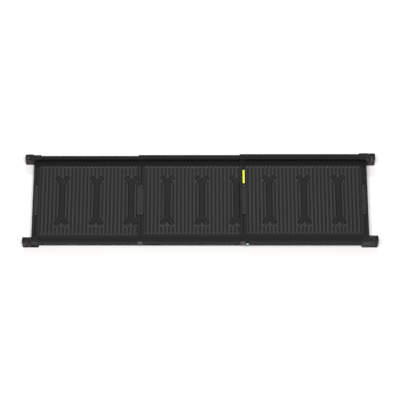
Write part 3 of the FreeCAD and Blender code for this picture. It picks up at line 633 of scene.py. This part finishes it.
def build_deck(section, deck, materials):
    """One section's deck."""
    low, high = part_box(f"{section}_deck")
    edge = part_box("outer_exit_bar" if section == "outer" else f"{section}_tail_bar")[1].y
    centre = (low.x + high.x) / 2
    half_rib = edge - deck.rib_margin
    field = (low.x + deck.field_start, high.x - deck.field_start, half_rib)
    floor = high.z - deck.rib_height
    bm = bmesh.new()
    plate(bm, low, high, edge - deck.edge_play, deck, field)
    for start in (low.x + deck.edge_play, high.x - deck.edge_play - deck.groove_width):
        end_groove(bm, start, start + deck.groove_width, floor, deck)
    bones = evenly_spaced(centre, deck.bone_count, deck.bone_pitch)
    for x in evenly_spaced(centre, deck.rib_count, deck.rib_pitch):
        offset = min((x - place for place in bones), key=abs)
        for start, stop in rib_stretches(deck, offset, half_rib):
            rib(bm, x, start, stop, floor, deck)
    for x in bones:
        bone(bm, x, floor, deck)
    finish_piece(
        f"{section}_ribbed_deck", bm, materials, section, [f"{section}_deck"],
        crease=8)


class RAMP_OT_decks(bpy.types.Operator):
    """Ribbed decks with bone-shaped pads"""
    bl_idname = "ramp.decks"
    bl_label = "Build decks"

    def execute(self, context):
        finish = context.scene.ramp_finish
        materials = (
            rib_polypropylene(finish), grit_polypropylene(finish), shade_painted_polypropylene(finish))
        for section in SECTIONS:
            build_deck(section, context.scene.ramp_deck, materials)
        return {"FINISHED"}


# ---- Channels, collars and bars ----

class RAMP_OT_channels(bpy.types.Operator):
    """Finish of the channels, collars and glides"""
    bl_idname = "ramp.channels"
    bl_label = "Finish channels"

    def execute(self, context):
        finish = context.scene.ramp_finish
        paint(named("_rail_"), powder_coat(finish))
        paint(named("_collar_"), collar_acetal(finish))
        paint(named("_glide_"), glide_nylon(finish))
        return {"FINISHED"}


class RAMP_OT_bars(bpy.types.Operator):
    """Finish of the bars across the deck ends"""
    bl_idname = "ramp.bars"
    bl_label = "Finish bars"

    def execute(self, context):
        paint(named("_bar"), bar_polypropylene(context.scene.ramp_finish))
        return {"FINISHED"}


def build_grip(node, settings, materials):
    """Soft pad with a crowned ridge, and a seam round it and round its screws, darkened as painted
    shade.
    """
    low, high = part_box(node)
    screws_low, screws_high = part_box(f"{node}_screws")
    middle = (screws_low.x + screws_high.x) / 2
    boss = screws_high.y - (screws_high.x - screws_low.x) / 2
    face = low.z + settings.thickness
    half_ridge = settings.ridge_width / 2
    ridge_end = screws_high.y - settings.boss_room
    bm = bmesh.new()
    seam = slab(
        bm,
        (low.x - settings.seam, low.y - settings.seam, low.z - settings.seam_sink),
        (high.x + settings.seam, high.y + settings.seam, low.z + settings.seam_rise))
    for y in (-boss, boss):
        seam += bmesh.ops.create_cone(
            bm, cap_ends=True, segments=32, radius1=settings.boss_seam, radius2=settings.boss_seam,
            depth=2 * settings.seam_rise, matrix=Matrix.Translation((middle, y, face)))["verts"]
    # Painted shade: the seam and the seats round the screws take the darkest plastic.
    paint_faces(seam, SEAM_SHADE)
    pad = slab(bm, low, (high.x, high.y, face))
    soften(bm, [edge for edge in rim_of(pad) if lowest(edge) > face - HAIR], settings.pad_round)
    ridge = slab(
        bm, (middle - half_ridge, -ridge_end, low.z), (middle + half_ridge, ridge_end, high.z))
    soften(bm, [edge for edge in rim_of(ridge) if lowest(edge) > face], settings.ridge_round, 4)
    finish_piece(f"{node}_pad", bm, materials, node.split("_")[0], [node])


class RAMP_OT_grips(bpy.types.Operator):
    """Soft grips, and the finish of the screws and the marker strip"""
    bl_idname = "ramp.grips"
    bl_label = "Build grips"

    def execute(self, context):
        finish = context.scene.ramp_finish
        materials = (grip_elastomer(finish), shade_painted_polypropylene(finish))
        for node in named("_grip"):
            if "screws" not in node:
                build_grip(node, context.scene.ramp_grip, materials)
        paint(["safety_strip"], marker_vinyl(finish))
        paint(named("_grip_screws"), black_oxide("black_oxide", finish.screw))
        paint(named("_rivet", "foot_screws"), black_oxide("painted_steel", finish.rivet))
        return {"FINISHED"}


# ---- Feet ----

def stud_rows(start, stop, pitch):
    """Places about a pitch apart that fill a stretch evenly."""
    count = max(1, int((stop - start) / pitch))
    step = (stop - start) / count
    return [start + step * (i + 0.5) for i in range(count)]


def stud(bm, place, direction, foot):
    """Low cone-shaped stud that stands on a face."""
    turn = Vector((0, 0, 1)).rotation_difference(Vector(direction)).to_matrix().to_4x4()
    bmesh.ops.create_cone(
        bm, cap_ends=True, segments=10, radius1=foot.stud_radius,
        radius2=foot.stud_radius * STUD_TAPER, depth=foot.stud_height * 2,
        matrix=Matrix.Translation(place) @ turn)


def build_foot(section, side, foot, material):
    """Rubber boot with studs on its top, end and outer faces, and a flat sole under the channel."""
    node = f"{section}_rubber_foot_{side}"
    low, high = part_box(node)
    rail_low, rail_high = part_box(f"{section}_rail_{side}")
    outward, deck_end, sole_x, tip_x = (
        (1, rail_high.x, low.x, high.x) if section == "outer" else (-1, rail_low.x, high.x, low.x))
    away, inner_y, outer_y = (1, low.y, high.y) if side == "left" else (-1, high.y, low.y)
    end_x = tip_x - outward * foot.stud_height
    side_y = outer_y - away * foot.stud_height
    top = high.z - foot.stud_height
    ends = sorted((deck_end, end_x))
    sides = sorted((inner_y, side_y))
    bm = bmesh.new()
    boot = slab(bm, (ends[0], sides[0], 0.0), (ends[1], sides[1], top))
    soften(bm, [edge for edge in edges_of(boot) if highest(edge) > OFF_FLOOR], foot.soft, 4)
    sole_ends = sorted((sole_x, deck_end))
    sole = slab(bm, (sole_ends[0], sides[0], 0.0), (sole_ends[1], sides[1], rail_low.z))
    corners = [
        edge for edge in edges_of(sole)
        if all(abs(vertex.co.x - sole_x) < SAME for vertex in edge.verts)
        and highest(edge) - lowest(edge) > OFF_FLOOR]
    soften(bm, corners, foot.soft, 4)
    xs = stud_rows(ends[0] + foot.soft, ends[1] - foot.soft, foot.stud_pitch)
    ys = stud_rows(sides[0] + foot.soft, sides[1] - foot.soft, foot.stud_pitch)
    zs = stud_rows(foot.soft, top - foot.soft, foot.stud_pitch)
    tread = [((x, y, top), (0, 0, 1)) for x in xs for y in ys]
    tread += [((x, side_y, z), (0, away, 0)) for x in xs for z in zs]
    tread += [((end_x, y, z), (outward, 0, 0)) for y in ys for z in zs]
    for place, direction in tread:
        stud(bm, place, direction, foot)
    finish_piece(f"{section}_boot_{side}", bm, (material,), section, [node])


class RAMP_OT_feet(bpy.types.Operator):
    """Studded rubber boots, and the finish of the brackets they are pushed over"""
    bl_idname = "ramp.feet"
    bl_label = "Build feet"

    def execute(self, context):
        finish = context.scene.ramp_finish
        rubber = foot_rubber(finish)
        for section in ("inner", "outer"):
            for side in SIDES:
                build_foot(section, side, context.scene.ramp_foot, rubber)
        paint(named("_bracket_"), fitting_nylon(finish))
        return {"FINISHED"}


# ---- Lock ----

class RAMP_OT_lock(bpy.types.Operator):
    """Lock cup, plunger, spring and a turned knob"""
    bl_idname = "ramp.lock"
    bl_label = "Build lock"

    def execute(self, context):
        finish = context.scene.ramp_finish
        paint(["lock_housing"], fitting_nylon(finish))
        paint(["lock_plunger", "lock_spring"], turned_steel(finish))
        build_knob((
            knob_acetal("knob_acetal", finish.knob),
            knob_acetal("knob_ring_acetal", finish.knob_ring)))
        return {"FINISHED"}


def build_knob(materials):
    """Knob turned from a profile: a pale dome in a darker ring; the dome's near white is the knob's
    own pale blue, lightened as a painted highlight.
    """
    low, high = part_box("lock_knob")
    centre = Vector(((low.x + high.x) / 2, high.y, (low.z + high.z) / 2))
    radius = (high.z - low.z) / 2
    depth = high.y - low.y
    rim, start = KNOB_RING[-1]
    angles = [math.pi / 2 * i / DOME_STEPS for i in range(DOME_STEPS + 1)]
    dome = [(rim * math.cos(a), start + (1 - start) * math.sin(a)) for a in angles]
    bm = bmesh.new()
    for slot, profile in ((HIGHLIGHT_DOME, dome), (RING, KNOB_RING)):
        line = [
            bm.verts.new((centre.x, centre.y - depth * up, centre.z + radius * out))
            for out, up in profile]
        edges = [bm.edges.new(pair) for pair in zip(line, line[1:])]
        bmesh.ops.spin(
            bm, geom=line + edges, cent=centre, axis=(0, 1, 0), angle=math.tau, steps=40,
            use_merge=True)
        for face in bm.faces:
            if not face.tag:
                face.material_index = slot
            face.tag = True
    bmesh.ops.remove_doubles(bm, verts=bm.verts, dist=SAME)
    finish_piece("domed_knob", bm, materials, "lock", ["lock_knob"])


# ---- Stage ----

def stage_floor(settings):
    """Large floor under the ramp."""
    material, tree, shader, place = new_material("studio_floor", Base_Color=settings.floor)
    noise = add_node(tree, "ShaderNodeTexNoise", None, {
        "Vector": place, "Scale": 3.0, "Detail": 2.0})
    rough = add_node(tree, "ShaderNodeMapRange", None, {
        "Value": noise.outputs["Fac"], "To Min": 0.85, "To Max": 0.95})
    tree.links.new(rough.outputs["Result"], shader.inputs["Roughness"])
    bm = bmesh.new()
    bmesh.ops.create_grid(bm, x_segments=1, y_segments=1, size=12.0)
    mesh = bpy.data.meshes.new("studio_floor")
    bm.to_mesh(mesh)
    bm.free()
    mesh.materials.append(material)
    floor = bpy.data.objects.new("studio_floor", mesh)
    bpy.context.scene.collection.objects.link(floor)


def softbox(name, place, size, power, tint):
    """Rectangular area light that points at the middle of the ramp.

    The back one draws the highlights on the ribs' far ends. Neither stands where a flat black
    surface would mirror it into the camera.
    """
    lamp = bpy.data.lights.new(name, "AREA")
    lamp.shape = "RECTANGLE"
    lamp.size, lamp.size_y = size
    lamp.energy = power
    lamp.color = tint
    holder = bpy.data.objects.new(name, lamp)
    holder.location = place
    holder.rotation_euler = (-Vector(place)).to_track_quat("-Z", "Y").to_euler()
    bpy.context.scene.collection.objects.link(holder)


def stage_camera(settings):
    """Long lens that looks down at the ramp from its right-hand side."""
    target = Vector((0, 0, settings.target_height))
    toward = Vector((0, -math.cos(settings.elevation), math.sin(settings.elevation)))
    data = bpy.data.cameras.new("camera")
    data.lens = settings.lens
    data.sensor_width = 36.0
    data.clip_end = 100.0
    data.shift_x = -0.0005
    data.shift_y = 0.0015
    camera = bpy.data.objects.new("camera", data)
    camera.location = target + toward * settings.distance
    camera.rotation_euler = (-toward).to_track_quat("-Z", "Y").to_euler()
    bpy.context.scene.collection.objects.link(camera)
    bpy.context.scene.camera = camera


def stage_world(strength):
    """Even white surroundings."""
    world = bpy.data.worlds.new("studio")
    world.use_nodes = True
    background = world.node_tree.nodes["Background"]
    background.inputs["Color"].default_value = (1.0, 1.0, 1.0, 1.0)
    background.inputs["Strength"].default_value = strength
    bpy.context.scene.world = world


class RAMP_OT_stage(bpy.types.Operator):
    """Pale floor, soft lights and the camera"""
    bl_idname = "ramp.stage"
    bl_label = "Set the stage"

    def execute(self, context):
        settings = context.scene.ramp_stage
        stage_floor(settings)
        stage_camera(settings)
        stage_world(settings.surroundings)
        softbox(
            "back_softbox", place=(0.0, 3.75, 3.6), size=(3.4, 0.5), power=70.0,
            tint=(0.92, 0.96, 1.0))
        softbox(
            "front_softbox", place=(0.0, -1.6, 4.8), size=(4.0, 2.0), power=225.0,
            tint=(1.0, 0.98, 0.96))
        context.scene.view_settings.view_transform = "Standard"
        context.scene.view_settings.look = "None"
        return {"FINISHED"}


# ---- Panel and registration ----

OPERATORS = (
    RAMP_OT_decks,
    RAMP_OT_channels,
    RAMP_OT_bars,
    RAMP_OT_grips,
    RAMP_OT_feet,
    RAMP_OT_lock,
    RAMP_OT_stage,
)


class RAMP_PT_panel(bpy.types.Panel):
    """Build steps of the ramp"""
    bl_idname = "RAMP_PT_panel"
    bl_label = "Pet ramp"
    bl_space_type = "VIEW_3D"
    bl_region_type = "UI"
    bl_category = "Ramp"

    def draw(self, context):
        for operator in OPERATORS:
            self.layout.operator(operator.bl_idname)
        for pointer, group in SETTINGS:
            box = self.layout.box()
            for name in group.__annotations__:
                box.prop(getattr(context.scene, pointer), name)


CLASSES = tuple(group for pointer, group in SETTINGS) + OPERATORS + (RAMP_PT_panel,)


def register():
    for cls in CLASSES:
        bpy.utils.register_class(cls)
    for pointer, group in SETTINGS:
        setattr(bpy.types.Scene, pointer, PointerProperty(type=group))


def unregister():
    for pointer, group in SETTINGS:
        delattr(bpy.types.Scene, pointer)
    for cls in reversed(CLASSES):
        bpy.utils.unregister_class(cls)


def main():
    register()
    bpy.ops.ramp.decks()
    bpy.ops.ramp.channels()
    bpy.ops.ramp.bars()
    bpy.ops.ramp.grips()
    bpy.ops.ramp.feet()
    bpy.ops.ramp.lock()
    bpy.ops.ramp.stage()


if __name__ == "__main__":
    main()
